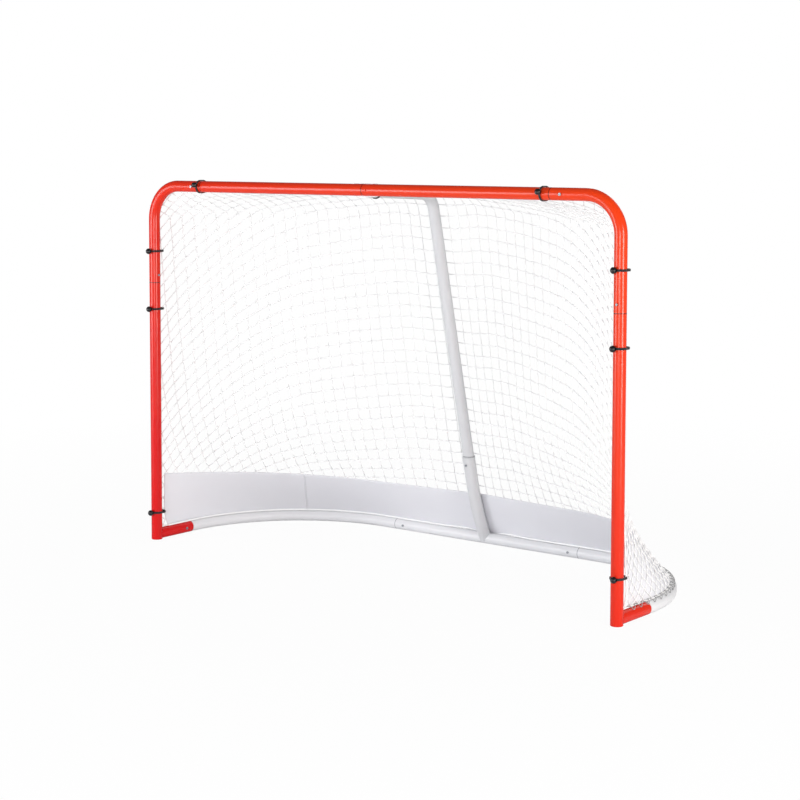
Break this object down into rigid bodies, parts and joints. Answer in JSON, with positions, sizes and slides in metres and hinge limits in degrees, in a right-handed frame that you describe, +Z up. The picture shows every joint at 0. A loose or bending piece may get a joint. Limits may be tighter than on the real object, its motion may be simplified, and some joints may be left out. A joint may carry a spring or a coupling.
{
  "type": "hockey goal net",
  "caption": "Full-size steel-tube hockey goal with a red front frame, white base and back strut, knotted white net held by black ball ties, and a laced cloth skirt.",
  "frame": {"origin": "centre of the bounding box at floor level, midway between the posts and midway from mouth to rear bar", "axes": "+X to the right across the mouth seen from in front, +Y back into the goal, +Z up"},
  "size_m": [1.94, 0.748, 1.2622],
  "materials": {
    "red_frame": "glossy powder coat",
    "white_frame": "satin powder coat",
    "steel": "zinc plated",
    "tie_black": "glossy",
    "net_cord": "matte",
    "skirt_cloth": "matte coated cloth",
    "lacing_cord": "matte"
  },
  "bodies": {
    "goal": {"post_left": "red_frame", "post_right": "red_frame", "post_cap_left": "red_frame", "post_cap_right": "red_frame", "foot_left": "red_frame", "foot_right": "red_frame", "corner_bend_left": "red_frame", "corner_bend_right": "red_frame", "crossbar_left": "red_frame", "crossbar_right": "red_frame", "top_saddle": "white_frame", "saddle_screws": "steel", "top_strut": "white_frame", "strut_foot": "white_frame", "base_bend_left": "white_frame", "base_bend_right": "white_frame", "rear_bar": "white_frame", "corner_screws": "steel", "foot_screws": "steel", "post_spring_left": "steel", "post_spring_right": "steel", "crossbar_spring": "steel", "strut_spring": "steel", "base_spring_left": "steel", "base_spring_right": "steel", "tie_left_high": "tie_black", "tie_left_middle": "tie_black", "tie_left_low": "tie_black", "tie_right_high": "tie_black", "tie_right_middle": "tie_black", "tie_right_low": "tie_black", "tie_crossbar_left": "tie_black", "tie_crossbar_right": "tie_black", "tie_top_tube": "tie_black", "net_roof_left": "net_cord", "net_roof_right": "net_cord", "net_back_left": "net_cord", "net_back_right": "net_cord", "skirt_left": "skirt_cloth", "skirt_rear": "skirt_cloth", "skirt_right": "skirt_cloth", "base_lacing": "lacing_cord"},
    "post_button_left_body": {"post_button_left": "steel"},
    "post_button_right_body": {"post_button_right": "steel"},
    "crossbar_button_body": {"crossbar_button": "steel"},
    "strut_button_body": {"strut_button": "steel"},
    "base_button_left_body": {"base_button_left": "steel"},
    "base_button_right_body": {"base_button_right": "steel"}
  },
  "joints": [
    {"name": "post_button_left_press", "type": "slide", "parent": "goal", "child": "post_button_left_body", "axis": [1, 0, 0], "range_m": [-0.0052, 0], "stiffness_N_per_m": 3000},
    {"name": "post_button_right_press", "type": "slide", "parent": "goal", "child": "post_button_right_body", "axis": [0, -1, 0], "range_m": [-0.0052, 0], "stiffness_N_per_m": 3000},
    {"name": "crossbar_button_press", "type": "slide", "parent": "goal", "child": "crossbar_button_body", "axis": [0, -1, 0], "range_m": [-0.0052, 0], "stiffness_N_per_m": 3000},
    {"name": "strut_button_press", "type": "slide", "parent": "goal", "child": "strut_button_body", "axis": [0, -0.9724, -0.2334], "range_m": [-0.0052, 0], "stiffness_N_per_m": 3000},
    {"name": "base_button_left_press", "type": "slide", "parent": "goal", "child": "base_button_left_body", "axis": [0, -1, 0], "range_m": [-0.0052, 0], "stiffness_N_per_m": 3000},
    {"name": "base_button_right_press", "type": "slide", "parent": "goal", "child": "base_button_right_body", "axis": [0, -1, 0], "range_m": [-0.0052, 0], "stiffness_N_per_m": 3000}
  ]
}
